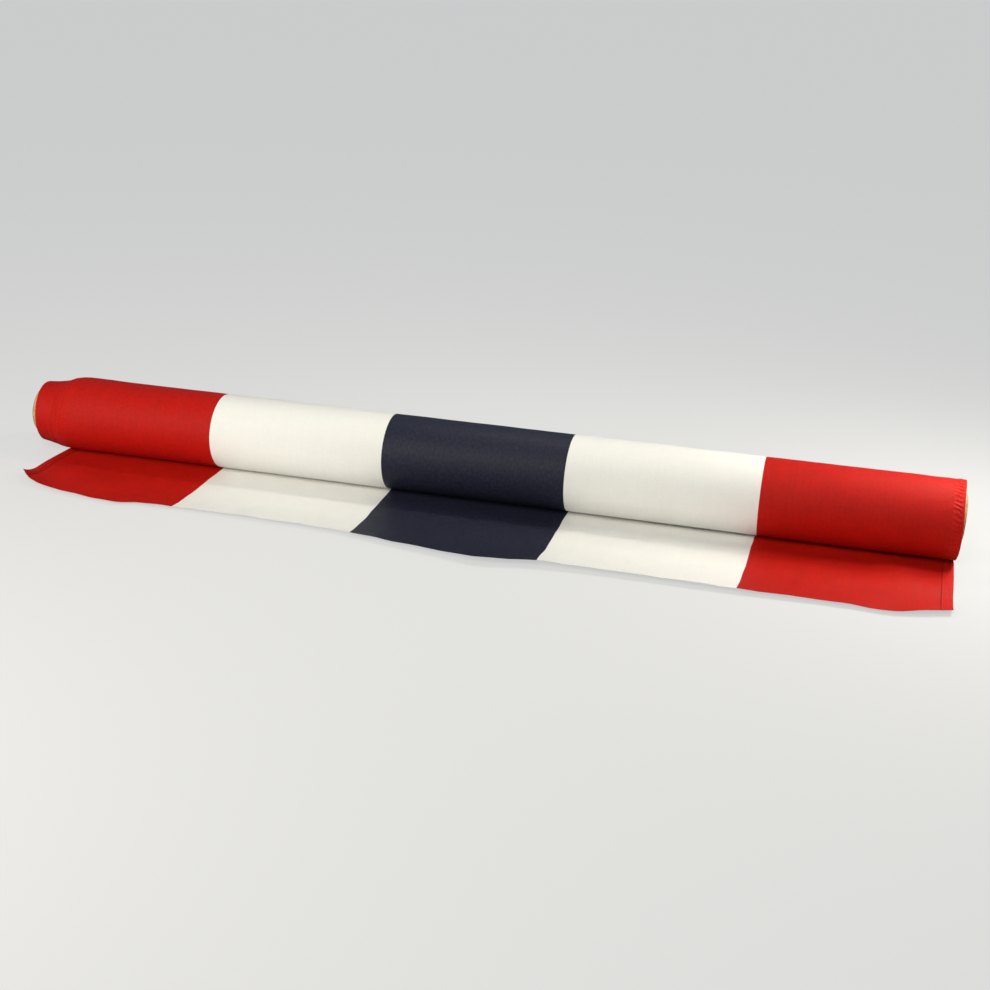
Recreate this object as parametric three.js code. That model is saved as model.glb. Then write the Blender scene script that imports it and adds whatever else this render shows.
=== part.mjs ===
// A roll of bunting cloth: five stripes along a 36 inch wide cloth, wound on a
// cardboard tube. The roll lies on a table with its loose end drawn out in front.
//
// Millimetres. +X runs along the roll, +Y points away from the loose end, +Z is up.
// The origin lies on the table, under the roll's axis, in the middle stripe.

import * as THREE from "three";
import { mergeVertices } from "three/addons/utils/BufferGeometryUtils.js";

// ---- Driving dimensions ---------------------------------------------------

const GAP = 0.3; // clearance between neighbouring pieces
const SEGMENTS = 64; // facets round the roll and the tube

const STRIPE = 182.88; // one stripe, a fifth of 36 inches
const CLOTH_LEFT = -456; // the hemmed edges, where the cloth leaves the roll
const CLOTH_RIGHT = 452.5;
const SHEET_THICKNESS = 1.2;

const AXIS_HEIGHT = 37.5; // of the roll's axis above the table
const FLAT_SPOT_HEIGHT = SHEET_THICKNESS + GAP; // the roll's underside, on the sheet
const SHEET_BACK = 13; // the sheet ends here, behind the line the roll rests on

const TUBE_RADIUS = 25; // a 2 inch tube
const TUBE_WALL = 3;
const TUBE_LEFT = -484;
const TUBE_RIGHT = 456.5;

// The ends of the wound turns, from the innermost out. Going outwards, each turn
// lies a little further right than the one inside it, so the left end is a stepped
// cone and the right end is a shallow funnel round the tube.
const LEFT_END = [
  { radius: 30.0, x: -479 },
  { radius: 31.0, x: -475 },
  { radius: 32.2, x: -469 },
  { radius: 33.7, x: -462 },
  { radius: 35.3, x: -455.5 },
  { radius: 36.8, x: -449.5 },
  { radius: 37.8, x: -443.5 },
];
const RIGHT_END = [
  { radius: 30.0, x: 429 },
  { radius: 31.0, x: 434 },
  { radius: 32.4, x: 441.5 },
  { radius: 34.0, x: 449 },
  { radius: 35.6, x: 453 },
];
// The roll's outer radius: the hems make it fullest near the left end, and it
// tapers towards the right.
const OUTER_RADIUS = [
  { x: -436, radius: 38.1 },
  { x: -400, radius: 38.1 },
  { x: -1.5 * STRIPE, radius: 37.9 },
  { x: -0.5 * STRIPE, radius: 37.7 },
  { x: 0.5 * STRIPE, radius: 37.5 },
  { x: 1.5 * STRIPE, radius: 37.4 },
  { x: 430, radius: 37.3 },
  { x: 454.5, radius: 37.1 },
];
const END_SLANT = 4; // how much further left the cone's steps lie below than on top

// The cut edge of the loose end, from left to right. x: place along the roll.
// drift: how far the cloth has slid sideways there. y: the cut edge. lift: its
// height above the table. curl: how far back from the edge the curl begins.
const CUT_EDGE = [
  { x: -456, drift: 2.5, y: -95.0, lift: 8.2, curl: 27 },
  { x: -443, drift: 3.0, y: -108.5, lift: 6.8, curl: 32 },
  { x: -430, drift: 1.5, y: -115.0, lift: 5.0, curl: 36 },
  { x: -412, drift: 0.0, y: -120.0, lift: 3.8, curl: 40 },
  { x: -376, drift: 0.0, y: -127.0, lift: 2.8, curl: 42 },
  { x: -338, drift: 0.0, y: -130.5, lift: 2.7, curl: 44 },
  { x: -300, drift: 0.0, y: -125.5, lift: 2.8, curl: 44 },
  { x: -190, drift: 0.0, y: -124.5, lift: 3.0, curl: 46 },
  { x: -100, drift: 0.0, y: -128.5, lift: 3.6, curl: 50 },
  { x: -45, drift: 0.0, y: -138.0, lift: 4.4, curl: 56 },
  { x: 5, drift: 0.0, y: -145.5, lift: 5.2, curl: 60 },
  { x: 42, drift: 0.0, y: -151.0, lift: 6.2, curl: 62 },
  { x: 84, drift: 0.0, y: -142.5, lift: 6.3, curl: 58 },
  { x: 130, drift: 0.0, y: -138.5, lift: 5.4, curl: 52 },
  { x: 270, drift: 0.0, y: -137.5, lift: 4.4, curl: 46 },
  { x: 370, drift: 0.0, y: -137.0, lift: 4.0, curl: 44 },
  { x: 400, drift: -1.5, y: -140.0, lift: 4.4, curl: 44 },
  { x: 452.5, drift: -4.5, y: -126.0, lift: 6.2, curl: 42 },
];
const COLUMNS_PER_STRIPE = 10;
const SHEET_ROWS = 16;

// ---- Finishes ---------------------------------------------------------------

const RED = new THREE.Color(0xb3231c);
const WHITE = new THREE.Color(0xf4f2ea);
const NAVY = new THREE.Color(0x1d2740);
const STRIPES = [RED, WHITE, NAVY, WHITE, RED]; // from left to right

const cloth = () =>
  new THREE.MeshStandardMaterial({ vertexColors: true, roughness: 0.9, metalness: 0 });
const cardboard = () =>
  new THREE.MeshStandardMaterial({ color: 0xc29a68, roughness: 0.95, metalness: 0 });

// ---- Helpers ----------------------------------------------------------------

// A smooth curve through a table's rows: at any x it gives each named column's value.
function smooth(table, columns) {
  const spline = new THREE.CubicInterpolant(
    table.map((row) => row.x),
    table.flatMap((row) => columns.map((column) => row[column])),
    columns.length,
  );
  return (x) => {
    const values = spline.evaluate(x);
    return Object.fromEntries(columns.map((column, i) => [column, values[i]]));
  };
}

// Moves every vertex of a geometry, then welds those that meet.
function reshaped(geometry, move) {
  const position = geometry.getAttribute("position");
  const point = new THREE.Vector3();
  for (let i = 0; i < position.count; i += 1) {
    move(point.fromBufferAttribute(position, i));
    position.setXYZ(i, point.x, point.y, point.z);
  }
  geometry.deleteAttribute("normal");
  geometry.deleteAttribute("uv");
  return mergeVertices(geometry, 1e-3);
}

// The same surface with each facet in the colour of the stripe that it lies in.
function striped(geometry) {
  const facets = geometry.toNonIndexed();
  const position = facets.getAttribute("position");
  const colours = [];
  for (let i = 0; i < position.count; i += 3) {
    const middle = (position.getX(i) + position.getX(i + 1) + position.getX(i + 2)) / 3;
    const stripe = THREE.MathUtils.clamp(Math.round(middle / STRIPE), -2, 2) + 2;
    for (let corner = 0; corner < 3; corner += 1) STRIPES[stripe].toArray(colours, colours.length);
  }
  facets.setAttribute("color", new THREE.Float32BufferAttribute(colours, 3));
  facets.computeVertexNormals();
  return facets;
}

// A ring turned round the roll's axis, from a closed outline of radius and x.
function ring(outline) {
  const points = outline.map(({ radius, x }) => new THREE.Vector2(radius, x));
  points.push(points[0].clone());
  const geometry = new THREE.LatheGeometry(points, SEGMENTS);
  geometry.rotateZ(-Math.PI / 2); // the lathe's axis, +Y, becomes +X
  return geometry;
}

function named(name, geometry, material) {
  const mesh = new THREE.Mesh(geometry, material);
  mesh.name = name;
  return mesh;
}

// ---- The pieces ---------------------------------------------------------------

// The wound turns as one solid round the tube. The outline runs left along the bore,
// up the left end's cone, right along the outside and down the right end's funnel.
function makeRoll() {
  const bore = TUBE_RADIUS + GAP;
  const innerLeft = LEFT_END[0];
  const innerRight = RIGHT_END[0];
  const outline = [
    { radius: bore, x: innerRight.x },
    { radius: bore, x: innerLeft.x },
    ...LEFT_END,
    ...OUTER_RADIUS,
    ...RIGHT_END.toReversed(),
  ];
  const fullRadius = OUTER_RADIUS[0].radius;
  const geometry = reshaped(ring(outline), (point) => {
    const radius = Math.hypot(point.y, point.z);
    // The cone's steps slant: further right on top, further left below.
    if (point.x < OUTER_RADIUS[0].x + 1 && radius > innerLeft.radius) {
      const share = (radius - innerLeft.radius) / (fullRadius - innerLeft.radius);
      point.x += (END_SLANT * share * point.z) / radius;
    }
    point.z = Math.max(point.z + AXIS_HEIGHT, FLAT_SPOT_HEIGHT);
  });
  return named("roll", striped(geometry), cloth());
}

// The tube the cloth is wound on. It stands a little past the cloth at each end.
function makeCoreTube() {
  const geometry = ring([
    { radius: TUBE_RADIUS - TUBE_WALL, x: TUBE_RIGHT },
    { radius: TUBE_RADIUS - TUBE_WALL, x: TUBE_LEFT },
    { radius: TUBE_RADIUS, x: TUBE_LEFT },
    { radius: TUBE_RADIUS, x: TUBE_RIGHT },
  ]);
  const welded = reshaped(geometry, (point) => {
    point.z += AXIS_HEIGHT;
  });
  welded.computeVertexNormals();
  return named("core_tube", welded, cardboard());
}

// The loose end: a sheet, flat on the table from behind the roll's line of rest
// out to where its cut edge starts to curl up.
function makeLooseEnd() {
  const edges = [CLOTH_LEFT, -1.5 * STRIPE, -0.5 * STRIPE, 0.5 * STRIPE, 1.5 * STRIPE, CLOTH_RIGHT];
  const columns = COLUMNS_PER_STRIPE * STRIPES.length;
  const cutEdge = smooth(CUT_EDGE, ["drift", "y", "lift", "curl"]);
  const box = new THREE.BoxGeometry(1, 1, 1, columns, SHEET_ROWS, 1);
  const geometry = reshaped(box, (point) => {
    const column = Math.round((point.x + 0.5) * columns) / COLUMNS_PER_STRIPE;
    const stripe = Math.min(Math.floor(column), STRIPES.length - 1);
    const x = THREE.MathUtils.lerp(edges[stripe], edges[stripe + 1], column - stripe);
    const edge = cutEdge(x);
    const out = 0.5 - point.y; // 0 behind the roll, 1 at the cut edge
    const y = THREE.MathUtils.lerp(SHEET_BACK, edge.y, out);
    const bend = Math.max(0, (edge.y + edge.curl - y) / edge.curl);
    const top = point.z > 0;
    point.set(
      x + edge.drift * Math.max(0, y / edge.y),
      y,
      edge.lift * bend ** 2 + (top ? SHEET_THICKNESS : 0),
    );
  });
  return named("loose_end", striped(geometry), cloth());
}

const group = new THREE.Group();
group.add(makeRoll(), makeCoreTube(), makeLooseEnd());

export default group;
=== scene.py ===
"""A roll of striped bunting cloth on a cardboard tube, its loose end drawn out in front.

The cloth is one strip. Its cut edge lies in front of the roll; from there it runs back over
the table, under the roll, up the back, over the top and on inwards, turn after turn, to the
tube. The loose end and the outermost turn are one fine mesh, and the turns inside it another.

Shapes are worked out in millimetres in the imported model's frame and become metres in
add_mesh(): X along the roll, Y away from the loose end, Z up, the table at 0.
"""

import math

import bpy
import numpy as np
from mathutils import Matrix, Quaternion, Vector


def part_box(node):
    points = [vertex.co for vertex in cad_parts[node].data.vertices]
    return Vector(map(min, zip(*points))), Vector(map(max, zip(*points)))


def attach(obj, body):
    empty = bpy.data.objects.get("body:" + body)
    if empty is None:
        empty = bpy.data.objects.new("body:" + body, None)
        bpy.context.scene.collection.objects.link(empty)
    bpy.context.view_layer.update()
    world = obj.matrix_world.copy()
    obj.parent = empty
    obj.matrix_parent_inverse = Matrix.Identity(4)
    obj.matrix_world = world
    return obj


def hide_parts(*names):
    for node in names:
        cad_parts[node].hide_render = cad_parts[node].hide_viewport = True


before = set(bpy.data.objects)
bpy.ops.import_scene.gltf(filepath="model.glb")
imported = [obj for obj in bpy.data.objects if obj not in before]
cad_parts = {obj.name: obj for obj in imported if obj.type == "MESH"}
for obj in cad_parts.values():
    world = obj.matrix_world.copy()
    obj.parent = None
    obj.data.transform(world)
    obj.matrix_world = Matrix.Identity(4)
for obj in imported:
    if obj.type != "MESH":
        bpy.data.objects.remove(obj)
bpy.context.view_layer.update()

# ---- Sizes ---------------------------------------------------------

MM = 0.001

tube_low, tube_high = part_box("core_tube")
AXIS = (tube_low.z + tube_high.z) / 2 / MM  # height of the roll's axis
TUBE_RADIUS = (tube_high.z - tube_low.z) / 2 / MM
TUBE_WALL = 3.0
PLIES = 12  # steps of board that show on its rims
STRIP_PITCH = 62.0  # along the tube, from one wound strip of board to the next
TUBE_LEFT = tube_low.x / MM
TUBE_RIGHT = tube_high.x / MM

STRIPE = 182.88  # a fifth of 36 inches
LEFT_EDGE = -456.0  # the hemmed edges, across the cloth from the middle of the navy stripe
RIGHT_EDGE = 452.5
CLOTH = 0.2  # thickness of one layer
HEM_WIDTH = 10.2
HEM_STEP = 0.34  # what the two folded layers of a hem add to the first
STITCH_LINE = 8.2  # from the hemmed edge
STITCH_LENGTH = 3.1
PUCKER = 4.6  # along the hem, from one fine pucker to the next
YARN = 0.42  # from one yarn to the next

INNER_RADIUS = TUBE_RADIUS + 0.3  # of the innermost turn's outer face
TURNS = 45.7  # which makes 10 yards of cloth
FIRST_ROUND = 235.0  # length of the outermost turn
OUTER_TURNS = 1.06  # the fine mesh ends hidden, just past one turn

# The roll's outside at rest: x along the roll, and the radius there. The first rows are
# the turns that have slid out at the left end, which make a cone.
OUTSIDE = np.array([
    (-486.0, 30.8), (-480.0, 31.3), (-475.0, 31.9), (-469.0, 32.7), (-462.0, 33.9),
    (-457.5, 34.8), (-454.5, 35.6), (-449.5, 36.9), (-443.5, 37.8), (-436.0, 38.4),
    (-415.0, 38.5), (-380.0, 38.1), (-274.0, 37.9), (-91.0, 37.7), (91.0, 37.5), (274.0, 37.4),
    (430.0, 37.3), (456.0, 37.1),
])
CONE_RIGHT = -440.0  # the cone ends here
SLANT = 3.5  # how much further right the cone ends on top, and further left below
DROOP = 1.25  # the slid turns hang this much lower than the roll
TILT = 4.6  # the slid turns' ends lie this much further right in front, and left behind
TILT_TURN = 0.17  # how far round from the front, towards the top, they lie furthest right
LEFT_RADIUS = 38.0  # of the roll where the cone ends

# How far a turn has slid to the left, by its share of the way from the tube to the outside.
SLIDE = np.array([
    (0.0, -24.2), (0.37, -24.2), (0.44, -20.6), (0.56, -13.6), (0.69, -6.8), (0.80, -2.6),
    (0.90, -0.6), (1.0, 0.2),
])
# How far the right hem of the outermost turn strays to the right, by turn.
STRAY = np.array([
    (0.0, 0.0), (0.25, 1.2), (0.5, 1.6), (0.6, 0.9), (0.66, 1.15), (0.72, 1.65), (0.78, 1.9),
    (0.84, 1.7), (0.9, 0.9), (1.0, 0.2),
])

# The cut edge of the loose end, from left to right: place across the cloth, distance in
# front of the roll's axis, height of the curl there, how far back the curl begins, and how
# far the cloth has drifted to the right by then.
CUT_EDGE = np.array([
    (-456.0, 95.0, 7.3, 27.0, 2.2),
    (-443.0, 108.5, 6.8, 32.0, 3.0),
    (-430.0, 115.0, 5.0, 36.0, 1.5),
    (-412.0, 120.0, 3.8, 40.0, 0.0),
    (-376.0, 126.6, 2.8, 42.0, 0.0),
    (-350.0, 130.4, 2.7, 43.0, 0.0),
    (-327.0, 132.0, 2.7, 44.0, 0.0),
    (-312.0, 126.3, 2.8, 44.0, 0.0),
    (-296.0, 125.2, 2.8, 44.0, 0.0),
    (-190.0, 124.5, 3.0, 46.0, 0.0),
    (-100.0, 128.5, 3.6, 50.0, 0.0),
    (-45.0, 138.0, 4.4, 56.0, 0.0),
    (5.0, 145.5, 5.2, 60.0, 0.0),
    (42.0, 151.0, 6.2, 62.0, 0.0),
    (84.0, 142.5, 6.3, 58.0, 0.0),
    (130.0, 138.5, 5.4, 52.0, 0.0),
    (270.0, 137.5, 4.4, 46.0, 0.0),
    (370.0, 135.6, 3.4, 44.0, 0.0),
    (400.0, 137.2, 3.3, 44.0, -1.5),
    (452.5, 122.5, 4.8, 42.0, -4.5),
])


# ---- Small tools ---------------------------------------------------


def through(table, x, column=1):
    """A smooth curve through a table's rows: between two rows a cubic whose slope at each
    row is the mean of the slopes on its two sides; level past the ends."""
    xs, ys = table[:, 0], table[:, column]
    steps = np.diff(ys) / np.diff(xs)
    slopes = np.concatenate([steps[:1], (steps[1:] + steps[:-1]) / 2, steps[-1:]])
    x = np.clip(x, xs[0], xs[-1])
    k = np.clip(np.searchsorted(xs, x, side="right") - 1, 0, len(xs) - 2)
    width = xs[k + 1] - xs[k]
    t = (x - xs[k]) / width
    return (
        ys[k] * (1 + 2 * t) * (1 - t) ** 2
        + slopes[k] * width * t * (1 - t) ** 2
        + ys[k + 1] * t**2 * (3 - 2 * t)
        - slopes[k + 1] * width * t**2 * (1 - t)
    )


def ease(low, high, x):
    """0 below low, 1 above high, and a smooth step between."""
    t = np.clip((x - low) / (high - low), 0, 1)
    return t * t * (3 - 2 * t)


def swell(a, b, seed, waves=9):
    """A smooth uneven surface of about unit height and unit wavelength: the sum of cosine
    waves in different directions, which a seeded generator draws."""
    draw = np.random.default_rng(seed)
    directions = draw.normal(0, 0.75, (waves, 2))
    phases = draw.uniform(0, 2 * math.pi, waves)
    total = np.zeros(np.broadcast(a, b).shape)
    for (p, q), phase in zip(directions, phases):
        total += np.cos(2 * math.pi * (a * p + b * q) + phase)
    return total / math.sqrt(waves)


def softer_min(a, b, blend):
    """The smaller of two surfaces, rounded where they cross."""
    return (a + b - np.sqrt((a - b) ** 2 + blend**2)) / 2


# ---- The wound cloth as one surface --------------------------------


def outside(x, angle):
    """The roll's radius at a place along it and an angle, counted from straight down by the
    back. It is the table's radius, read further right on top and further left below where
    the cone is, less the droop on top and more below; underneath it meets the table top,
    which is AXIS / cos."""
    up = -np.cos(angle)
    cone = ease(-CONE_RIGHT - 4, -CONE_RIGHT + 18, -x)
    radius = through(OUTSIDE, x - SLANT * up * cone * ease(-484, -466, x))
    radius = radius - DROOP * cone * up
    turned = np.abs((angle + math.pi) % (2 * math.pi) - math.pi)
    on_table = (1 - cone) * np.exp(-((turned / 0.5) ** 2))
    radius = radius + np.maximum(AXIS - radius, 0) * on_table
    return softer_min(radius, AXIS / np.clip(-up, 0.25, 1), 0.12)


def share_of(turn):
    """1 on the outermost turn's start, falling evenly to 0 on the tube."""
    return 1 - turn / TURNS


def slide(u, turn):
    """How far a turn has moved along the roll. On the outermost only the hems stray: the
    right by a table and the left by a little. Inside it each turn lies further left, by the
    other table, and a little unevenly."""
    inside = ease(1.0, 2.0, turn)
    uneven = 0.28 * swell(turn * 2.3, turn * 0.31, 11) + 0.1 * swell(turn * 9.1, turn * 0.7, 12)
    right = through(STRAY, turn) * ease(290, 440, u)
    left = 1.4 * ease(0, 0.3, turn) * ease(300, 440, -u)
    return (
        (right + left) * (turn < 1)
        + through(SLIDE, share_of(turn)) * (turn >= 1)
        + uneven * inside
    )


def fullness(x):
    """How far out, as a share of the way from the tube, turns still reach a place along the
    roll: less than 1 only on the cone."""
    edges = np.stack([LEFT_EDGE + SLIDE[1:, 1], SLIDE[1:, 0]], axis=1)
    return np.where(x > edges[-1, 0], 1.0, through(edges, x))


def wound(u, turn):
    """The cloth's outer face inside the roll, u across the cloth and turn inwards. Its angle
    is the turn's, and its radius goes from the tube to the roll's outside with the turn's
    share of the cloth that reaches there, so that turns squeeze together evenly. The slid
    turns' left ends are tilted by a sine of the angle."""
    angle = 2 * math.pi * turn
    x = u + slide(u, turn)
    share = np.minimum(share_of(turn) / fullness(x), 1.0)
    tilted = (1 - ease(0.5, 0.95, share_of(turn))) * ease(360, 440, -u)
    x = x - TILT * np.sin(angle + TILT_TURN) * tilted
    radius = INNER_RADIUS + share * (outside(x, angle) - INNER_RADIUS)
    return x, radius, angle


def round_axis(x, radius, angle):
    """Points from their place along the roll, radius and angle from straight down."""
    return np.stack([x, radius * np.sin(angle), AXIS - radius * np.cos(angle)], axis=-1)


# ---- The loose end -------------------------------------------------

# Soft ridges on the loose end: from (x, y) to (x, y), height and half width.
RIDGES = np.array([
    (-424.0, -62.0, -372.0, -98.0, 3.4, 20.0),
    (-250.0, -60.0, -205.0, -118.0, 0.5, 14.0),
    (30.0, -52.0, 48.0, -146.0, 1.1, 24.0),
    (92.0, -60.0, 98.0, -136.0, 1.0, 19.0),
    (250.0, -70.0, 236.0, -132.0, 0.5, 20.0),
    (404.0, -26.0, 408.0, -62.0, 3.4, 24.0),
    (412.0, -70.0, 424.0, -128.0, 0.8, 13.0),
    (439.0, -30.0, 441.0, -64.0, 2.0, 15.0),
])
# How far the stripes' borders have drifted on the loose end: across the cloth, the drift
# under the roll, and what is added by the time they reach the cut edge.
DRIFT = np.array([
    (-456.0, 0.0, 0.0), (-274.3, 0.8, -0.2), (-91.4, 1.2, 0.4), (91.4, 0.0, 0.0),
    (274.3, -1.8, -3.7), (438.0, 1.0, -0.3), (452.5, 1.1, 0.0),
])


def reach(u):
    """How far in front of the axis the cut edge lies."""
    return through(CUT_EDGE, u) + 0.22 * swell(u / 9, u / 31, 5)


def ridges(x, y):
    """The sum of the ridges: each falls away from its line as a bell, and at its ends."""
    total = np.zeros(np.broadcast(x, y).shape)
    for x0, y0, x1, y1, height, width in RIDGES:
        length = math.hypot(x1 - x0, y1 - y0)
        along = ((x - x0) * (x1 - x0) + (y - y0) * (y1 - y0)) / length
        off = ((x - x0) * (y1 - y0) - (y - y0) * (x1 - x0)) / length
        ends = ease(-18, 14, along) * (1 - ease(length, length + 30, along))
        total += height * np.exp(-((off / width) ** 2)) * ends
    return total


def loose(u, v):
    """The cloth's underside in front of the roll, v from 0 under the axis to minus reach(u)
    at the cut edge: flat on the table, with soft ridges, a slight rise beside the roll, and
    a curl whose height grows with the square of the way from where it begins."""
    out = -v
    far = reach(u)
    lift, curl, drift = (through(CUT_EDGE, u, column) for column in (2, 3, 4))
    bend = np.clip(out - far + curl, 0, None) / curl
    share = np.clip(out / far, 0, None)
    x = u + (drift + through(DRIFT, u, 2)) * share + through(DRIFT, u, 1) * ease(0, 16, out)
    x = x + 0.35 * swell(u / 120, out / 52, 23) * ease(4, 30, out) * ease(0, 60, from_hem(u))
    x = x + 4.2 * np.exp(-((out / 32) ** 2)) * ease(0, 10, out) * ease(370, 450, -u)
    start = AXIS - outside(x, np.zeros_like(x))
    z = start * np.exp(-((out / 9) ** 2)) + lift * bend**2
    z = z + ridges(x, -out) * ease(6, 30, out)
    beside = (0.15 + 0.9 * ease(0, 330, u)) * (1 + 0.5 * swell(u / 90, 0.3, 21))
    z = z + beside * np.exp(-(((out - 19) / 8) ** 2))
    z = z + 0.22 * (1 + swell(u / 46, out / 60, 22)) * ease(10, 40, out)
    return np.stack([x, -out, np.maximum(z, 0)], axis=-1)


# ---- The cloth's face, wrong side and hems -------------------------


def from_hem(u):
    """Distance from the nearer hemmed edge."""
    return np.minimum(u - LEFT_EDGE, RIGHT_EDGE - u)


def hem(u):
    """1 on the hems and 0 elsewhere, with a steep shoulder where the fold ends. The cloth
    turned in under the fold stops short of the edge, so the outer part is one layer less."""
    side = from_hem(u)
    return (1 - ease(HEM_WIDTH, HEM_WIDTH + 0.16, side)) * (0.55 + 0.45 * ease(3.0, 3.7, side))


def seam(u):
    """1 along the stitching and 0 from a millimetre off it on, as a bell."""
    return np.exp(-(((from_hem(u) - STITCH_LINE) / 0.5) ** 2))


def free(v):
    """1 where the outermost turn's face is clear of the table and of the loose end."""
    turn = v / FIRST_ROUND
    return ease(0.06, 0.16, turn) * (1 - ease(0.86, 0.94, turn))


def relief(u, v):
    """How far the face stands out from the even surface. On the roll: the hem's soft
    shoulder, low swellings over the turns beneath, and slanting creases by the right hem.
    On both parts: a seam drawn in along the stitching, and puckers across it, which rise
    off the table on the loose end."""
    side = from_hem(u)
    right = ease(0, 60, u)
    soft_hem = 1 - ease(HEM_WIDTH - 1.0, HEM_WIDTH + 1.6, side)
    low = 0.10 * (1.2 + swell(u / 34, v / 70, 31)) + 0.05 * (1.2 + swell(u / 9, v / 48, 32))
    wave = v / 4.4 + 0.35 * swell(u / 60, v / 23, 33) + 0.09 * (side - STITCH_LINE)
    gather = (0.5 + 0.5 * np.cos(2 * math.pi * wave)) * (0.7 + 0.3 * swell(v / 17, 0.5, 35))
    pucker = np.exp(-(((side - 4.6) / 2.7) ** 2)) * (gather - 0.3)
    lip = np.exp(-((side / 1.6) ** 2))
    slant = v / 13 + u / 17 + 0.5 * swell(u / 40, v / 40, 34)
    crease = np.clip(np.sin(2 * math.pi * slant), 0, None) ** 1.5
    creased = 0.3 * right * crease * np.exp(-(((side - 15) / 8) ** 2))
    hems = 0.14 * soft_hem + (0.04 + 0.8 * right) * pucker + 0.25 * lip
    raised = np.clip(low, 0, None) + creased + hems - 0.12 * seam(u)
    raised = raised * np.clip(ease(2, 20, u - LEFT_EDGE) + (v < 0), 0, 1)
    lying = (v < 0) * ease(12, 30, -v) * 0.05 * pucker
    return raised * free(v) - lying


def face(u, v):
    """The cloth's right side before its relief: on the loose end where v is below 0, and on
    the wound turns past that."""
    u, v = np.broadcast_arrays(np.asarray(u, float), np.asarray(v, float))
    on_table = loose(u, np.minimum(v, 0))
    rolled = round_axis(*wound(u, np.maximum(v, 0) / FIRST_ROUND))
    return np.where((v < 0)[..., None], on_table, rolled)


def outward(u, v, step=0.35):
    """The face's unit normal, away from the wound cloth: the cross product of the steps
    along and across the cloth."""
    across = face(u + step, v) - face(u - step, v)
    along = face(u, v + step) - face(u, v - step)
    normal = np.cross(along, across)
    return normal / np.linalg.norm(normal, axis=-1, keepdims=True)


def thickness(u, v):
    """One layer, and three on a hem, rounded off at the fold and pulled down along the
    stitching; under the roll the hem is pressed flat."""
    side = from_hem(u)
    loose_share = ease(8, 16, -v)
    room = np.clip(loose_share + free(v), 0.12, 1)
    full = CLOTH + HEM_STEP * room * (hem(u) - 0.55 * seam(u))
    fold = np.clip(side / 0.35, 0, 1)
    return full * (0.25 + 0.75 * np.sqrt(fold * (2 - fold)))


# ---- Meshes --------------------------------------------------------


def add_mesh(name, points, quads, material, uv=None, bake=None):
    """One object at the origin, its points given in millimetres and its quads with their
    faces outwards. uv and bake hold a place for each quad's corners."""
    mesh = bpy.data.meshes.new(name)
    points = np.asarray(points, np.float64).reshape(-1, 3)
    quads = np.asarray(quads, np.int32).reshape(-1, 4)
    mesh.from_pydata(points * MM, [], quads.tolist())
    mesh.polygons.foreach_set("use_smooth", np.ones(len(quads), bool))
    for label, places in (("cloth", uv), ("OFBake", bake)):
        if places is not None:
            layer = mesh.uv_layers.new(name=label)
            layer.data.foreach_set("uv", np.asarray(places, np.float32).ravel())
    mesh.materials.append(material)
    mesh.update()
    made = bpy.data.objects.new(name, mesh)
    bpy.context.scene.collection.objects.link(made)
    return made


def grid_quads(rows, columns):
    """The quads of a grid of points counted row by row."""
    i, j = np.meshgrid(np.arange(rows - 1), np.arange(columns - 1), indexing="ij")
    a = (i * columns + j).ravel()
    return np.stack([a, a + 1, a + columns + 1, a + columns], axis=1)


def signed_volume(points, quads):
    """Six times the volume inside closed quads: positive when their faces point out."""
    a, b, c, d = (points[quads[:, k]] for k in range(4))
    return (a * np.cross(b, c)).sum() + (a * np.cross(c, d)).sum()


def lane_map(faces, rows, columns, lanes):
    """A flat map without overlaps for strip_of_cloth: the face's rows lie side by side in a
    number of lanes in its lower half, and the wrong side's likewise in its upper half. The
    faces that close the sheet come last, and lie just beside the lanes."""
    per_lane = math.ceil((rows - 1) / lanes)
    count = rows * columns
    one_side = (rows - 1) * (columns - 1)
    row, column = np.divmod(faces % count, columns)
    first = np.minimum(row.min(axis=1), rows - 2)[:, None] // per_lane
    across = column / (columns - 1)
    along = (row - first * per_lane) / per_lane
    wrong_side = np.arange(len(faces))[:, None] >= one_side
    closing = np.arange(len(faces))[:, None] >= 2 * one_side
    beside = np.where(closing & (faces < count), 0.02 / lanes, 0)
    return np.stack([
        (first + 0.04 + 0.92 * across) / lanes + beside,
        0.01 + 0.48 * np.clip(along, 0, 1) + 0.5 * wrong_side,
    ], axis=-1)


def strip_of_cloth(name, front, back, uv, material, lanes):
    """A closed sheet from the grids of its face and wrong side, rows along the cloth and
    columns across it: both grids, the two long edges and the two ends, all as quads."""
    rows, columns = front.shape[:2]
    quads = grid_quads(rows, columns)
    count = rows * columns
    last = columns - 1
    r = np.arange(rows - 1) * columns
    c = np.arange(columns - 1)
    bottom = (rows - 1) * columns
    edges = np.concatenate([
        np.stack([r, r + columns, r + columns + count, r + count], 1),
        np.stack([r + last + columns, r + last, r + last + count, r + last + columns + count], 1),
        np.stack([c + 1, c, c + count, c + 1 + count], 1),
        np.stack([bottom + c, bottom + c + 1, bottom + c + 1 + count, bottom + c + count], 1),
    ])
    faces = np.concatenate([quads, quads[:, ::-1] + count, edges])
    points = np.concatenate([front.reshape(-1, 3), back.reshape(-1, 3)])
    flat = np.tile(uv.reshape(-1, 2), (2, 1))
    bake = lane_map(faces, rows, columns, lanes)
    if signed_volume(points, faces) < 0:
        faces, bake = faces[:, ::-1], bake[:, ::-1]
    return add_mesh(name, points, faces, material, uv=flat[faces], bake=bake)


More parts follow.
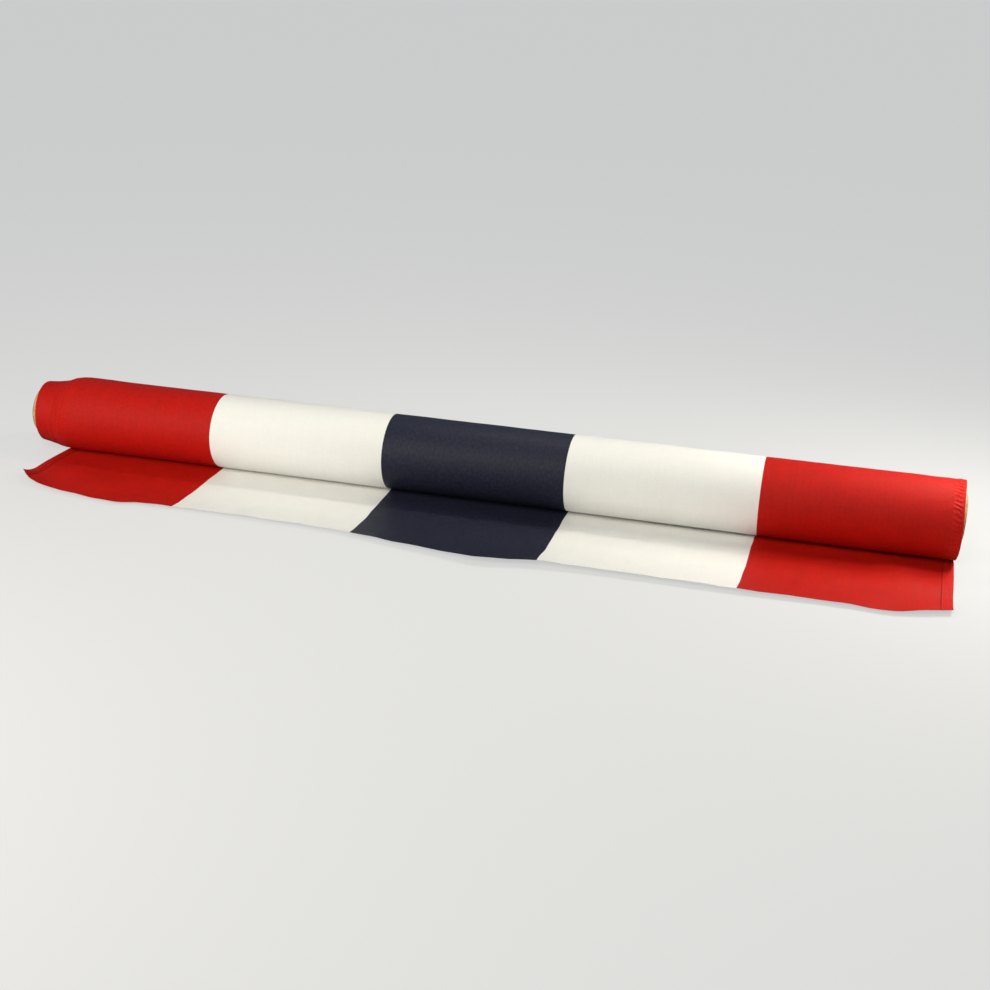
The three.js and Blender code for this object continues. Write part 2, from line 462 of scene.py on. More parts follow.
def columns_across(near, spacing):
    """Places across the cloth: the given distances from each hem, and evenly between."""
    near = np.asarray(near)
    middle = np.linspace(
        LEFT_EDGE + near[-1],
        RIGHT_EDGE - near[-1],
        max(2, round((RIGHT_EDGE - LEFT_EDGE - 2 * near[-1]) / spacing)),
    )[1:-1]
    return np.concatenate([LEFT_EDGE + near, middle, (RIGHT_EDGE - near)[::-1]])


def make_outer_cloth(material):
    """The loose end and the outermost turn: rows from the cut edge to the axis in even
    shares of the way, closer by the edge, then evenly round the roll. The columns are
    closest at the hems' folds and stitching. The face stands out by the relief, and the
    wrong side lies under it by the thickness."""
    stitched = STITCH_LINE + np.array([-0.45, 0, 0.45])
    folded = HEM_WIDTH + np.array([-0.05, 0, 0.08, 0.18, 0.9])
    near = [0, 0.08, 0.2, 0.4, 1.2, 2.2, 2.95, 3.35, 3.75, 5, 6.4, *stitched, 9.4, *folded,
            12.5, 15, 18, 22]
    u = columns_across(near, 8.0)[None, :]
    flap_rows, roll_rows = 43, 250
    by_edge, further = [0, 0.002, 0.006, 0.014], np.linspace(0.026, 1, flap_rows + 1)[:-1]
    share = np.concatenate([by_edge, further])
    flap = -reach(u) * (1 - share[:, None])
    roll = np.linspace(0, OUTER_TURNS * FIRST_ROUND, roll_rows)[:, None] + 0 * u
    v = np.concatenate([flap, roll])
    u = np.broadcast_to(u, v.shape)
    normal = outward(u, v)
    front = face(u, v) + normal * relief(u, v)[..., None]
    back = front - normal * thickness(u, v)[..., None]
    uv = np.stack([u, v], axis=-1) * MM
    return strip_of_cloth("loose_end_and_outer_turn", front, back, uv, material, 1)


def make_inner_turns(material):
    """The turns inside the outermost one: even rows round each turn, and columns only near
    the hems, because the middle of each turn is straight and out of sight."""
    u = columns_across([0, 0.12, 0.5, 2, 6, 12, 30], 2000)[None, :]
    rows_each = 64
    rows = round((TURNS - OUTER_TURNS) * rows_each)
    turn = np.linspace(OUTER_TURNS, TURNS, rows)[:, None] + 0 * u
    u = np.broadcast_to(u, turn.shape)
    x, radius, angle = wound(u, turn)
    side = from_hem(u)
    slack = 0.02 * swell(angle / 1.9, turn / 3, 41) * ease(20, 0, side)
    front = round_axis(x, radius + slack, angle)
    wall = CLOTH * np.where(side < 0.05, 0.5, 1.0)  # half as thick right at the fold
    back = round_axis(x, radius + slack - wall, angle)
    mean_round = math.pi * (AXIS + INNER_RADIUS)
    v = FIRST_ROUND * OUTER_TURNS + (turn - OUTER_TURNS) * mean_round
    uv = np.stack([u, v], axis=-1) * MM
    return strip_of_cloth("wound_turns", front, back, uv, material, 8)


def make_tube(material):
    """The board tube, as a profile carried round the axis: out along the bore, over the
    left rim, back along the outside and over the right rim. The rims show the plies as
    shallow steps, and the outside and the bore have the groove of the wound strips. The
    ends aren't cut quite square."""
    bore = TUBE_RADIUS - TUBE_WALL
    plies = np.linspace(bore, TUBE_RADIUS, PLIES + 1)
    uneven = np.where(np.arange(PLIES + 1) % 2 == 0, 0.0, 0.16)
    stations = np.concatenate([
        np.linspace(TUBE_LEFT + 0.15, TUBE_LEFT + 40, 18),
        np.linspace(TUBE_LEFT + 60, TUBE_RIGHT - 80, 24),
        np.linspace(TUBE_RIGHT - 60, TUBE_RIGHT - 0.15, 26),
    ])
    radius = np.concatenate([
        np.full(len(stations), bore), plies[1:-1], np.full(len(stations), TUBE_RADIUS),
        plies[::-1][1:-1],
    ])
    along = np.concatenate([
        stations[::-1], TUBE_LEFT + uneven[1:-1], stations, TUBE_RIGHT - uneven[1:-1],
    ])
    segments = 128
    angle = np.linspace(0, 2 * math.pi, segments + 1)[:-1]
    r, a = np.meshgrid(radius, angle)
    x = np.broadcast_to(along, r.shape)
    strip = (x / STRIP_PITCH + a / (2 * math.pi)) % 1
    groove = np.exp(-((np.minimum(strip, 1 - strip) * STRIP_PITCH / 1.3) ** 2))
    wall_side = np.where(r > (bore + TUBE_RADIUS) / 2, -1, 1)
    skin = (r == bore) | (r == TUBE_RADIUS)
    r = r + wall_side * groove * 0.14 * skin
    rough = 0.1 * swell(a * 3.1, r * 1.3, 51) * ~skin
    skew = (1.2 * (1 + np.cos(a - 0.75)) - 0.35) * ease(TUBE_RIGHT - 60, TUBE_RIGHT, x)
    short = (0.5 - 0.7 * np.cos(a)) * (1 - ease(TUBE_LEFT, TUBE_LEFT + 30, x))
    points = round_axis(x + rough - skew + short, r, a)
    points = np.concatenate([points, points[:1]])
    points = np.concatenate([points, points[:, :1]], axis=1)
    rows, columns = points.shape[:2]
    quads = grid_quads(rows, columns)
    # Weld the seams round and across.
    row, column = np.divmod(quads, columns)
    welded = (row % segments) * (columns - 1) + column % (columns - 1)
    flat = points[:-1, :-1].reshape(-1, 3)
    distance = np.concatenate([[0], np.cumsum(np.hypot(np.diff(radius), np.diff(along)))])
    distance = np.append(distance, distance[-1] + 0.3)
    uv = np.stack([
        distance[column] * MM, row / segments * 2 * math.pi * TUBE_RADIUS * MM,
    ], axis=-1)
    bake = np.stack([0.01 + 0.98 * column / (columns - 1), 0.01 + 0.98 * row / segments], -1)
    if signed_volume(flat, welded) < 0:
        welded, uv, bake = welded[:, ::-1], uv[:, ::-1], bake[:, ::-1]
    return add_mesh("board_tube", flat, welded, material, uv=uv, bake=bake)


def tubes(centres, sideways, upwards, radii, sides):
    """Many thin closed tubes at once. centres, sideways and upwards have one row for each
    tube and one column for each station; a ring of points lies round each station, and
    quads that share one point close the first ring and the last."""
    count, stations = centres.shape[:2]
    angle = np.linspace(0, 2 * math.pi, sides + 1)[:-1]
    ring = (
        np.cos(angle)[:, None] * sideways[:, :, None, :]
        + np.sin(angle)[:, None] * upwards[:, :, None, :]
    )
    points = centres[:, :, None, :] + ring * radii[..., None, None]
    s, k = np.meshgrid(np.arange(stations - 1), np.arange(sides), indexing="ij")
    s, k = s.ravel(), k.ravel()
    following = (k + 1) % sides
    wall = np.stack([
        s * sides + k, s * sides + following, (s + 1) * sides + following, (s + 1) * sides + k,
    ], axis=1)
    fan = np.array([(0, q, q + 1, q + 2) for q in range(1, sides - 2, 2)])
    caps = np.concatenate([fan[:, ::-1], fan + (stations - 1) * sides])
    one = np.concatenate([wall, caps])
    start = (np.arange(count) * stations * sides)[:, None, None]
    quads = (one[None] + start).reshape(-1, 4)
    flat = points.reshape(-1, 3)
    if signed_volume(flat, quads) < 0:
        quads = quads[:, ::-1]
    return flat, quads


def make_stitches(material):
    """The lockstitches that hold the hems, on both sides of the cloth: short threads end to
    end along the stitch line, each sunk into the cloth where it enters and leaves."""
    draw = np.random.default_rng(61)
    sides = 6
    ends, faces, places, start = [], [], [], 0
    for edge, inwards in ((LEFT_EDGE, 1), (RIGHT_EDGE, -1)):
        u0 = edge + inwards * STITCH_LINE
        begin = np.arange(-float(reach(u0)) + 1.5, FIRST_ROUND * 0.985, STITCH_LENGTH)
        for side in (1, -1):
            first = begin if side > 0 else begin[begin < -4] + 0.5
            t = np.linspace(0, 1, 7)[None, :]
            length = STITCH_LENGTH * 0.9
            v = first[:, None] + length * t + draw.normal(0, 0.08, (len(first), 1))
            slope = draw.normal(0, 0.07, (len(first), 1))
            u = u0 + slope + (t - 0.5) * draw.normal(0.1, 0.08, (len(first), 1))
            normal = outward(u, v)
            surface = face(u, v) + normal * relief(u, v)[..., None]
            if side < 0:
                surface = surface - normal * thickness(u, v)[..., None]
                normal = -normal
            arch = np.sin(math.pi * t) ** 0.5
            lie = (0.13 * arch - 0.07)[..., None]
            centres = surface + normal * lie
            ahead = np.gradient(centres, axis=1)
            ahead /= np.linalg.norm(ahead, axis=-1, keepdims=True)
            sideways = np.cross(normal, ahead)
            radii = np.broadcast_to(0.05 + 0.07 * arch, v.shape)
            points, quads = tubes(centres, sideways, normal, radii, sides)
            places.append(np.repeat(np.stack([u, v], axis=-1).reshape(-1, 2), sides, axis=0))
            faces.append(quads + start)
            ends.append(points)
            start += len(points)
    faces, places = np.concatenate(faces), np.concatenate(places) * MM
    return add_mesh("hem_stitches", np.concatenate(ends), faces, material, uv=places[faces])


def make_cut_threads(material):
    """The cut ends of the yarns along the cut edge, a short fringe as the shears left it:
    each yarn runs straight on out of the cloth, thins, and strays a little."""
    draw = np.random.default_rng(71)
    thick, sides = 0.11, 4
    u = np.arange(LEFT_EDGE + 0.6, RIGHT_EDGE - 0.5, 0.8)
    u = (u + draw.normal(0, 0.12, len(u)))[:, None]
    length = 0.3 + draw.gamma(1.3, 0.2, u.shape)
    t = np.linspace(0, 1, 4)[None, :]
    edge = -reach(u)
    ahead = face(u, edge) - face(u, edge + 0.5)
    ahead /= np.linalg.norm(ahead, axis=-1, keepdims=True)
    normal = outward(u, edge + 0.4)
    across = np.cross(normal, ahead)
    out = length * t
    stray = draw.normal(0, 0.3, u.shape) * out * t
    rise = draw.normal(0.05, 0.22, u.shape) * out * t
    centres = (
        face(u, edge + 0.25) - normal * CLOTH / 2
        + ahead * out[..., None] + across * stray[..., None] + normal * rise[..., None]
    )
    centres[..., 2] = np.maximum(centres[..., 2], 0.12)  # above the table
    radii = thick * (1 - 0.55 * t) * np.ones_like(out)
    across, normal = (np.broadcast_to(way, centres.shape) for way in (across, normal))
    points, quads = tubes(centres, across, normal, radii, sides)
    uv = np.stack([np.broadcast_to(u, out.shape), edge - out], axis=-1)
    uv = np.repeat(uv.reshape(-1, 2), sides, axis=0) * MM
    return add_mesh("cut_yarn_ends", points, quads, material, uv=uv[quads])


# ---- Shader groups -------------------------------------------------


class Nodes:
    """A small hand for building a node tree: each call adds a node and wires its inputs."""

    def __init__(self, tree):
        self.tree = tree

    def add(self, kind, **settings):
        node = self.tree.nodes.new(kind)
        for key, value in settings.items():
            setattr(node, key, value)
        return node

    def put(self, socket, value):
        if isinstance(value, bpy.types.NodeSocket):
            self.tree.links.new(value, socket)
        else:
            socket.default_value = value

    def math(self, operation, *values, clamp=False):
        node = self.add("ShaderNodeMath", operation=operation, use_clamp=clamp)
        for socket, value in zip(node.inputs, values):
            self.put(socket, value)
        return node.outputs[0]

    def plus(self, a, b):
        return self.math("ADD", a, b)

    def minus(self, a, b):
        return self.math("SUBTRACT", a, b)

    def times(self, a, b):
        return self.math("MULTIPLY", a, b)

    def over(self, a, b):
        return self.math("DIVIDE", a, b)

    def mix(self, factor, a, b, blend="MIX"):
        node = self.add("ShaderNodeMix", data_type="RGBA", blend_type=blend)
        self.put(node.inputs["Factor"], factor)
        self.put(node.inputs[6], a)
        self.put(node.inputs[7], b)
        return node.outputs[2]

    def vector(self, x, y, z=0.0):
        node = self.add("ShaderNodeCombineXYZ")
        for socket, value in zip(node.inputs, (x, y, z)):
            self.put(socket, value)
        return node.outputs[0]

    def noise(self, vector, scale=1.0, detail=2.0, rough=0.5):
        node = self.add("ShaderNodeTexNoise", noise_dimensions="3D")
        self.put(node.inputs["Vector"], vector)
        node.inputs["Scale"].default_value = scale
        node.inputs["Detail"].default_value = detail
        node.inputs["Roughness"].default_value = rough
        return node.outputs["Fac"]

    def span(self, value, low, high, to_low=0.0, to_high=1.0, smooth=True):
        node = self.add("ShaderNodeMapRange", clamp=True)
        node.interpolation_type = "SMOOTHSTEP" if smooth else "LINEAR"
        for socket, part in zip(node.inputs, (value, low, high, to_low, to_high)):
            self.put(socket, part)
        return node.outputs[0]

    def bell(self, value, centre, width):
        """1 at the centre, falling smoothly to 0 at the width on both sides."""
        off = self.math("ABSOLUTE", self.minus(value, centre))
        return self.span(off, 0.0, width, 1.0, 0.0)

    def shaded(self, colour, shade):
        """A colour times one number."""
        grey = self.add("ShaderNodeCombineColor")
        for socket in grey.inputs:
            self.put(socket, shade)
        return self.mix(1.0, colour, grey.outputs[0], blend="MULTIPLY")

    def bump(self, height, strength, distance, under=None):
        """The normal over a height, on top of another bump's."""
        node = self.add("ShaderNodeBump")
        node.inputs["Strength"].default_value = strength
        node.inputs["Distance"].default_value = distance
        self.put(node.inputs["Height"], height)
        if under is not None:
            self.put(node.inputs["Normal"], under)
        return node.outputs[0]

    def axes(self, vector):
        """The three numbers of a place."""
        node = self.add("ShaderNodeSeparateXYZ")
        self.put(node.inputs[0], vector)
        return node.outputs

    def cloth(self):
        """The place across and along the cloth, in metres."""
        return self.axes(self.add("ShaderNodeUVMap", uv_map="cloth").outputs["UV"])[:2]

    def group(self, tree, **values):
        node = self.add("ShaderNodeGroup")
        node.node_tree = tree
        for name, value in values.items():
            self.put(node.inputs[name.replace("_", " ")], value)
        return node.outputs


def new_group(name, inputs, outputs):
    """An empty shader group with named inputs and outputs, and its two end nodes. Color and
    Place hold three numbers each, and all the others one."""
    tree = bpy.data.node_groups.new(name, "ShaderNodeTree")
    kinds = {"Color": "NodeSocketColor", "Place": "NodeSocketVector"}
    for way, labels in (("INPUT", inputs), ("OUTPUT", outputs)):
        for label in labels:
            kind = kinds.get(label, "NodeSocketFloat")
            tree.interface.new_socket(label, in_out=way, socket_type=kind)
    hand = Nodes(tree)
    return tree, hand, hand.add("NodeGroupInput").outputs, hand.add("NodeGroupOutput").inputs


# The dyes, and the pale specks of painted sheen on two of them.
RED = (0.458, 0.0022, 0.0, 1.0)
WHITE = (0.81, 0.803, 0.775, 1.0)
NAVY = (0.0068, 0.0092, 0.0265, 1.0)
RED_SHEEN_SPECKS = (1.0, 0.62, 0.30, 1.0)
NAVY_SHEEN_SPECKS = (1.0, 0.94, 0.92, 1.0)


def stripes_group():
    """The five stripes from the place across the cloth, in metres: the outer two red, the
    middle one navy, and their borders as sharp as dye on cloth, with a trace of bleeding."""
    tree, n, given, result = new_group(
        "Five stripes", ["Across", "Along"], ["Color", "Plain", "Dark"])
    wander = n.noise(n.vector(n.times(given["Along"], 900.0), 0.0), 1.0, 3.0)
    wander = n.times(n.minus(wander, 0.5), 0.0005)
    place = n.math("ABSOLUTE", n.plus(given["Across"], wander))
    half = STRIPE * MM / 2
    soft = 0.00018
    past_navy = n.span(place, half - soft, half + soft)
    past_white = n.span(place, 3 * half - soft, 3 * half + soft)
    inner = n.mix(past_navy, NAVY, WHITE)
    n.put(result["Color"], n.mix(past_white, inner, RED))
    n.put(result["Plain"], n.minus(past_navy, past_white))
    n.put(result["Dark"], n.minus(1.0, past_navy))
    return tree


def weave_group():
    """Plain weave from places across and along the cloth, in metres. Yarns of one pitch
    cross over and under: the height is the product of two sines, whose crossings are the
    dark gaps, and each yarn is a little thicker or thinner along its length."""
    tree, n, given, result = new_group(
        "Plain weave", ["Across", "Along", "Pitch"], ["Height", "Gaps", "Slubs"])
    p = n.over(given["Across"], given["Pitch"])
    q = n.over(given["Along"], given["Pitch"])
    sine_p = n.math("SINE", n.times(p, math.pi))
    sine_q = n.math("SINE", n.times(q, math.pi))
    crossed = n.times(sine_p, sine_q)
    gap_p = n.math("POWER", n.minus(1.0, n.math("ABSOLUTE", sine_p)), 2.0)
    gap_q = n.math("POWER", n.minus(1.0, n.math("ABSOLUTE", sine_q)), 2.0)
    gaps = n.math("ADD", gap_p, gap_q, clamp=True)
    warp = n.noise(n.vector(p, n.times(q, 0.03)), 0.9, 2.0)
    weft = n.noise(n.vector(n.times(p, 0.03), q, 7.0), 0.9, 2.0)
    slubs = n.plus(warp, weft)
    height = n.plus(n.times(crossed, 0.5), slubs)
    n.put(result["Height"], n.minus(height, n.times(gaps, 0.35)))
    n.put(result["Gaps"], gaps)
    n.put(result["Slubs"], n.span(slubs, 0.72, 1.28, 0.0, 1.0, smooth=False))
    return tree


def hems_group():
    """What the hems do to the surface, from the place across and along the cloth, in metres.
    Puckers: short slanting waves that cross the stitching, weaker on the loose end and on
    the left hem. The second output is painted shade: a dark band where the folded layers end
    and a fainter one near the edge, on the loose end. The third is the hem itself, paler
    partly for its thicker cloth and partly as a painted highlight, more on the right."""
    tree, n, given, result = new_group(
        "Hems", ["Across", "Along"], ["Puckers", "Painted fold shade", "Thick hem and highlight"])
    across, along = given["Across"], given["Along"]
    from_left = n.minus(across, LEFT_EDGE * MM)
    from_right = n.minus(RIGHT_EDGE * MM, across)
    side = n.math("MINIMUM", from_left, from_right)
    wander = n.noise(n.vector(n.times(side, 160.0), n.times(along, 75.0)), 1.0, 2.0)
    turn = n.plus(n.times(wander, 9.0), n.times(side, 420.0))
    turn = n.plus(n.times(along, 2 * math.pi / (PUCKER * MM)), turn)
    strength = n.span(n.noise(n.vector(n.times(along, 55.0), 0.3), 1.0, 2.0), 0.3, 0.7)
    wave = n.times(n.math("SINE", turn), n.plus(strength, 0.25))
    by_stitches = n.times(n.bell(side, STITCH_LINE * MM, 0.0024), 0.5)
    stitched = n.plus(n.bell(side, 0.0045, 0.0040), by_stitches)
    stitched = n.times(stitched, n.span(across, 0.1, 0.2, 0.12, 1.0))
    stitched = n.times(stitched, n.span(along, -0.01, 0.02, 0.2, 1.0))
    # the hem, for a colour partly of its thicker cloth and partly of painted highlight, stronger
    # on the right
    folded = n.span(side, HEM_WIDTH * MM, (HEM_WIDTH + 0.3) * MM, 1.0, 0.0)
    n.put(result["Thick hem and highlight"], n.times(folded, n.span(across, 0.1, 0.2, 0.3, 1.0)))
    n.put(result["Puckers"], n.times(wave, stitched))
    # painted shade: a dark band at the step where the folded layers end, and fainter ones near
    # the edges, on the loose end only
    fold_shade = n.bell(side, (HEM_WIDTH + 0.15) * MM, 0.0007)
    fold_shade = n.plus(fold_shade, n.times(n.bell(from_right, 0.0034, 0.0007), 0.35))
    fold_shade = n.plus(fold_shade, n.times(n.bell(from_left, 0.0064, 0.0011), 0.6))
    n.put(result["Painted fold shade"], n.times(fold_shade, n.span(along, -0.010, -0.006, 1.0, 0.0)))
    return tree


# Rows of stitches that show through at the left end: place along the roll, and how strongly.
PRESSED_ROWS = ((-460.0, 0.4), (-453.5, 0.9), (-447.8, 1.0), (-442.3, 1.0), (-438.5, 0.6))
DOTS_ROUND = 73.0  # dots round the roll in each row


def pressed_group():
    """Rows of stitches of the turns beneath, pressed through at the slid left end: rings of
    dots a stitch apart, from the place in the model's frame. A dot is a sine of the angle
    round the roll, within a bell round its ring's place."""
    tree, n, given, result = new_group(
        "Stitches pressed through", ["Place", "Along"], ["Dots"])
    x, y, z = n.axes(given["Place"])
    up = n.minus(z, AXIS * MM)
    angle = n.math("ARCTAN2", y, up)
    x = n.minus(x, n.times(up, SLANT / LEFT_RADIUS))
    wave = n.math("SINE", n.times(angle, DOTS_ROUND))
    dots = n.plus(n.times(wave, 0.5), 0.5)
    total = 0.0
    for place, amount in PRESSED_ROWS:
        column = n.times(n.bell(x, place * MM, 0.0012), amount)
        total = n.plus(total, column)
    on_roll = n.span(given["Along"], 0.02, 0.04)
    n.put(result["Dots"], n.times(n.times(total, dots), on_roll))
    return tree


def new_material(name, roughness, specular):
    """A material, a hand for its nodes, and its shader's inputs."""
    material = bpy.data.materials.new(name)
    material.use_nodes = True
    shader = material.node_tree.nodes["Principled BSDF"]
    shader.inputs["Roughness"].default_value = roughness
    shader.inputs["Specular IOR Level"].default_value = specular
    return material, Nodes(material.node_tree), shader.inputs


def bunting_cloth(stripes, weave, hems, pressed):
    """Dyed polycotton: the stripes, mottled by the dye, streaked where yarns and the roll's
    turns pull, darker in the gaps of the weave, with painted shade along the hems' folds and
    in the puckers' hollows, painted highlight on the hems (with their thicker cloth), the
    puckers' crests and the pressed-through stitches, and specks of painted sheen on the red
    and the navy; with the weave, fine creases, the hems' puckers and the pressed-through
    stitches as bump."""
    material, n, shader = new_material("Bunting cloth", 0.62, specular=0.16)
    across, along = n.cloth()
    striped = n.group(stripes, Across=across, Along=along)
    woven = n.group(weave, Across=across, Along=along, Pitch=YARN * MM)
    hemmed = n.group(hems, Across=across, Along=along)
    object_place = n.add("ShaderNodeTexCoord").outputs["Object"]
    dots = n.group(pressed, Place=object_place, Along=along)["Dots"]
    place = n.vector(across, along)
    mottle = n.noise(place, 55.0, 4.0, 0.6)
    fine = n.noise(place, 420.0, 2.0, 0.6)
    rings = n.noise(n.vector(n.times(across, 260.0), n.times(along, 5.0)), 1.0, 3.0, 0.6)
    shade = n.span(mottle, 0.3, 0.7, -0.05, 0.05, smooth=False)
    shade = n.plus(shade, n.span(fine, 0.3, 0.7, -0.07, 0.07, smooth=False))
    shade = n.plus(shade, n.span(rings, 0.3, 0.7, -0.04, 0.04, smooth=False))
    shade = n.plus(shade, n.span(woven["Slubs"], 0.0, 1.0, -0.07, 0.07, smooth=False))
    shade = n.minus(shade, n.times(woven["Gaps"], 0.12))
    shade = n.times(shade, n.span(striped["Plain"], 0.0, 1.0, 1.0, 0.2))
    # painted highlight on the pressed-through stitch dots
    shade = n.plus(shade, n.times(dots, 0.34))
    # painted shade along the hems' folds
    shade = n.minus(shade, n.times(hemmed["Painted fold shade"], 0.55))
    # painted shade in the puckers' hollows and painted highlight on their crests
    shade = n.plus(shade, n.times(hemmed["Puckers"], 0.12))
    # the hems paler: partly their thicker cloth, partly a painted highlight, more on the right
    shade = n.plus(shade, n.times(hemmed["Thick hem and highlight"], 0.08))
    colour = n.shaded(striped["Color"], n.plus(shade, 1.0))
    # painted sheen: pale specks mixed into the red and the navy
    speck_place = n.vector(n.times(across, 400.0), n.times(along, 260.0), 3.0)
    sheen_specks = n.noise(speck_place, 1.0, 4.0, 0.75)
    most = n.span(striped["Dark"], 0.0, 1.0, 0.011, 0.018)
    most = n.times(most, n.minus(1.0, striped["Plain"]))
    sheen_specks = n.times(n.span(sheen_specks, 0.3, 0.7, smooth=False), most)
    colour = n.mix(sheen_specks, colour, n.mix(striped["Dark"], RED_SHEEN_SPECKS, NAVY_SHEEN_SPECKS))
    n.put(shader["Base Color"], colour)
    rough = n.span(mottle, 0.3, 0.7, 0.58, 0.66, smooth=False)
    n.put(shader["Roughness"], n.minus(rough, n.times(striped["Dark"], 0.12)))
    creases = n.noise(n.vector(n.times(across, 90.0), n.times(along, 60.0)), 1.0, 5.0, 0.62)
    normal = n.bump(woven["Height"], 0.5, 0.00012)
    normal = n.bump(creases, 0.5, 0.0006, normal)
    normal = n.bump(hemmed["Puckers"], 0.8, 0.0005, normal)
    n.put(shader["Normal"], n.bump(dots, 0.7, 0.0004, normal))
    return material


def sewing_thread(stripes):
    """Thread of the stripe's own colour, a shade lighter, with painted shade in the grooves of
    its twist and its twist as bump.
    """
    material, n, shader = new_material("Sewing thread", 0.6, specular=0.25)
    across, along = n.cloth()
    striped = n.group(stripes, Across=across, Along=along)
    twist = n.math("SINE", n.times(n.plus(along, across), 14000.0))
    lighter = n.mix(0.02, striped["Color"], (0.9, 0.62, 0.55, 1.0))
    # painted shade in the grooves of the twist
    shade = n.span(twist, -1.0, 1.0, 0.75, 1.0, smooth=False)
    n.put(shader["Base Color"], n.shaded(lighter, shade))
    n.put(shader["Normal"], n.bump(twist, 0.4, 0.00005))
    return material


def tube_board():
    """Grey-brown board wound in strips: paper fibres, mottling, a dark line along each
    strip's joint, and the plies as fine rings on the rims."""
    material, n, shader = new_material("Tube board", 0.9, specular=0.25)
    place = n.add("ShaderNodeTexCoord").outputs["Object"]
    x, y, z = n.axes(place)
    z = n.minus(z, AXIS * MM)
    radius = n.math("SQRT", n.plus(n.times(y, y), n.times(z, z)))
    angle = n.math("ARCTAN2", y, z)
    fibres = n.noise(place, 900.0, 4.0, 0.7)
    mottle = n.noise(place, 120.0, 3.0, 0.5)
    strip = n.plus(n.over(x, STRIP_PITCH * MM), n.over(angle, 2 * math.pi))
    joint = n.math("ABSOLUTE", n.minus(n.math("FRACT", strip), 0.5))
    joint = n.span(joint, 0.0, 0.012, 1.0, 0.0)
    ply = 0.0005
    plies = n.math("SINE", n.times(radius, 2 * math.pi / ply))
    bore, skin = (TUBE_RADIUS - TUBE_WALL) * MM, TUBE_RADIUS * MM
    past_bore = n.span(radius, bore + 0.0001, bore + 0.0003)
    rim = n.times(past_bore, n.span(radius, skin - 0.0003, skin - 0.0001, 1.0, 0.0))
    colour = n.mix(n.span(mottle, 0.3, 0.7), (0.40, 0.245, 0.12, 1.0), (0.56, 0.37, 0.20, 1.0))
    colour = n.mix(n.span(fibres, 0.45, 0.75, 0.0, 0.5), colour, (0.68, 0.50, 0.30, 1.0))
    colour = n.mix(n.times(joint, 0.6), colour, (0.16, 0.09, 0.04, 1.0))
    dark_ply = n.times(n.span(plies, 0.2, 0.9), rim)
    colour = n.mix(n.times(dark_ply, 0.45), colour, (0.22, 0.13, 0.06, 1.0))
    n.put(shader["Base Color"], colour)
    height = n.minus(fibres, n.times(joint, 1.2))
    n.put(shader["Normal"], n.bump(height, 0.5, 0.0002))
    return material


# ---- Floor, light and camera ---------------------------------------


def make_floor():
    """A plain pale table top that keeps the roll's shadow. Seen by the camera it reflects
    less and gives some light of its own instead, so that it is evenly pale all the way back."""
    material = bpy.data.materials.new("Pale table")
    material.use_nodes = True
    n = Nodes(material.node_tree)
    shader = material.node_tree.nodes["Principled BSDF"].inputs
    seen = n.add("ShaderNodeLightPath").outputs["Is Camera Ray"]
    n.put(shader["Base Color"], n.mix(seen, (0.34, 0.345, 0.35, 1.0), (0.20, 0.20, 0.20, 1.0)))
    shader["Roughness"].default_value = 0.9
    shader["Emission Color"].default_value = (1.0, 1.0, 0.99, 1.0)
    n.put(shader["Emission Strength"], n.times(seen, 0.54))
    half, top = 20.0 / MM, -0.12  # 40 m wide, and just under the cloth
    corners = [(half * x, half * y, top) for x, y in ((-1, -1), (1, -1), (1, 1), (-1, 1))]
    floor = add_mesh("table_top", corners, [(0, 1, 2, 3)], material)


WARM = (1.0, 0.95, 0.83)  # the colour of every lamp


def add_light(name, kind, power, direction, **settings):
    """A warm light of a kind, turned along a direction."""
    light = bpy.data.lights.new(name, kind)
    light.energy = power
    light.color = WARM
    for key, value in settings.items():
        setattr(light, key, value)
    lamp = bpy.data.objects.new(name, light)
    lamp.rotation_euler = Vector(direction).to_track_quat("-Z", "Y").to_euler()
    bpy.context.scene.collection.objects.link(lamp)
    return lamp


def add_lamp(name, place, aim, size, power):
    """An area lamp of a width and height at a place, turned to a point, all in metres."""
    lamp = add_light(name, "AREA", power, Vector(aim) - Vector(place),
                     shape="RECTANGLE", size=size[0], size_y=size[1])
    lamp.location = place


def make_light():
    """Small lamps over and behind the right end and over the middle, whose shadow is the
    band in front of the roll, and large soft ones in front of the left end and of the
    whole. A far one behind lights the back, without a highlight along the roll's top."""
    add_lamp("over_the_right_end", (0.56, 0.02, 0.34), (0.45, 0.0, 0.03), (0.08, 0.06), 0.80)
    add_lamp("behind_the_right_end", (0.57, 0.12, 0.35), (0.45, 0.0, 0.05), (0.08, 0.06), 0.81)
    add_lamp("far_behind_it", (0.53, 0.22, 0.38), (0.44, 0.0, 0.07), (0.10, 0.06), 0.53)
    add_lamp("front_left", (-0.60, -0.90, 0.50), (-0.45, 0.0, 0.03), (0.40, 0.30), 7.4)
    add_lamp("front", (0.03, -1.35, 1.35), (0.0, 0.0, 0.0), (0.80, 0.60), 11.8)
    add_lamp("over_the_middle", (-0.02, 0.17, 0.54), (-0.02, 0.0, 0.03), (0.10, 0.06), 0.84)
    far = add_light("far_behind_the_roll", "SUN", 0.75, (0.25, -1.0, -0.16),
                    angle=math.radians(25))
    far.visible_glossy = False


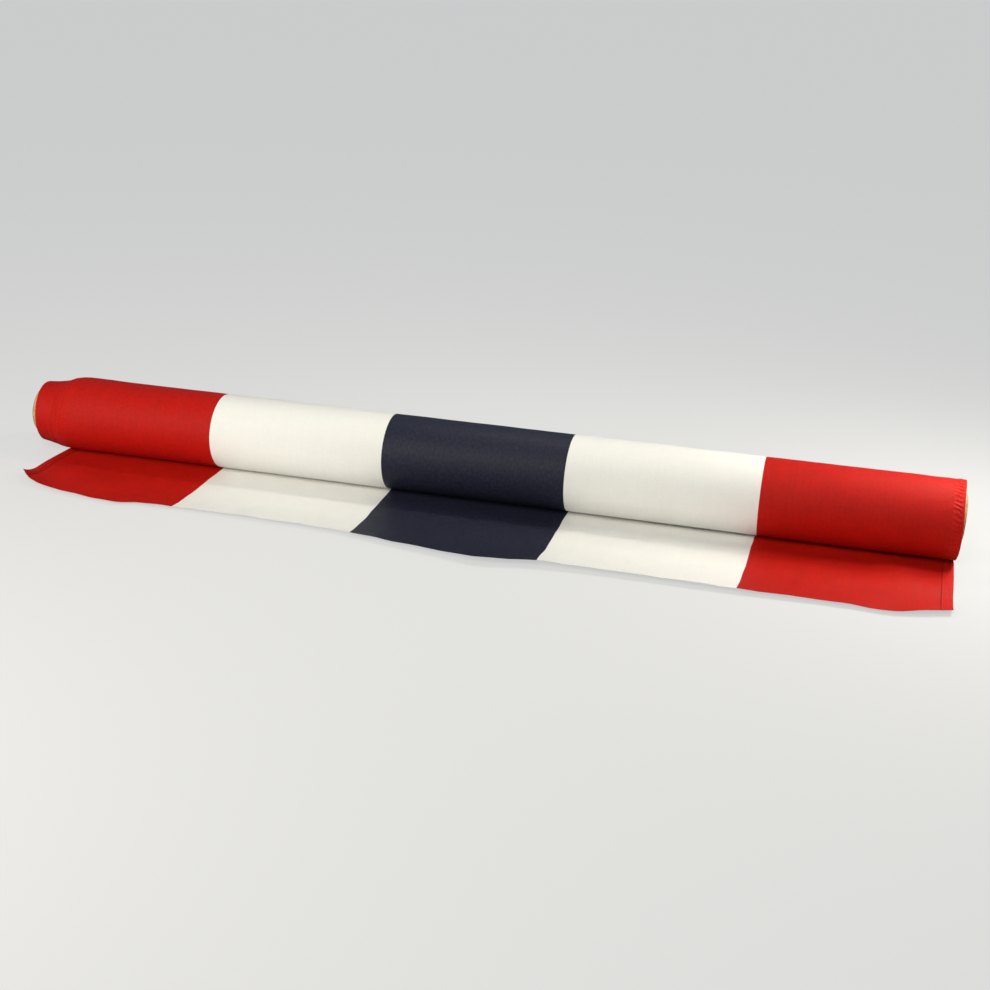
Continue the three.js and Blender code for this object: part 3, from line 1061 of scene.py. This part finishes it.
def make_room():
    """A faint cool light from all round, and a plain grey wall where the camera sees it."""
    world = bpy.data.worlds.new("Soft room")
    world.use_nodes = True
    n = Nodes(world.node_tree)
    seen = n.add("ShaderNodeLightPath").outputs["Is Camera Ray"]
    room = world.node_tree.nodes["Background"]
    room.inputs["Color"].default_value = (0.74, 0.86, 1.0, 1.0)
    room.inputs["Strength"].default_value = 0.235
    wall = n.add("ShaderNodeBackground")
    wall.inputs["Color"].default_value = (0.58, 0.58, 0.58, 1.0)
    both = n.add("ShaderNodeMixShader")
    for socket, part in zip(both.inputs, (seen, room.outputs[0], wall.outputs[0])):
        n.put(socket, part)
    n.put(world.node_tree.nodes["World Output"].inputs["Surface"], both.outputs[0])
    bpy.context.scene.world = world


def make_camera():
    """A camera in front of the roll, right of its middle and above it, turned to a point
    on the table top beside the origin and leaning a little."""
    data = bpy.data.cameras.new("camera")
    data.lens = 51.07
    data.sensor_width = 36.0
    camera = bpy.data.objects.new("camera", data)
    camera.location = (0.34136, -1.24665, 0.53933)
    aim = Vector((0.01482, 0.0, 0.00402))
    lean = Quaternion((0.0, 0.0, 1.0), math.radians(1.528))
    turned = (aim - camera.location).to_track_quat("-Z", "Y") @ lean
    camera.rotation_euler = turned.to_euler()
    bpy.context.scene.collection.objects.link(camera)
    bpy.context.scene.camera = camera


# ---- The whole -----------------------------------------------------


def main():
    """The scene round the pieces, and the pieces themselves in place of the imported parts, which
    are hidden.
    """
    bpy.context.scene.view_settings.view_transform = "Standard"
    make_camera()
    make_light()
    make_room()
    make_floor()
    stripes = stripes_group()
    cloth = bunting_cloth(stripes, weave_group(), hems_group(), pressed_group())
    thread = sewing_thread(stripes)
    outer = make_outer_cloth(cloth)
    inner = make_inner_turns(cloth)
    tube = make_tube(tube_board())
    stitches = make_stitches(thread)
    yarns = make_cut_threads(cloth)

    for piece in (outer, inner, tube, stitches, yarns):
        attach(piece, "root")
    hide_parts("loose_end")
    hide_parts("roll")
    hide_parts("core_tube")

    width = (RIGHT_EDGE - LEFT_EDGE) * MM
    across = np.linspace(LEFT_EDGE, RIGHT_EDGE, 400)
    wrapped = OUTER_TURNS * FIRST_ROUND
    outer_length = (reach(across).max() + wrapped) * MM
    outer_area = width * (reach(across).mean() + wrapped) * MM


main()
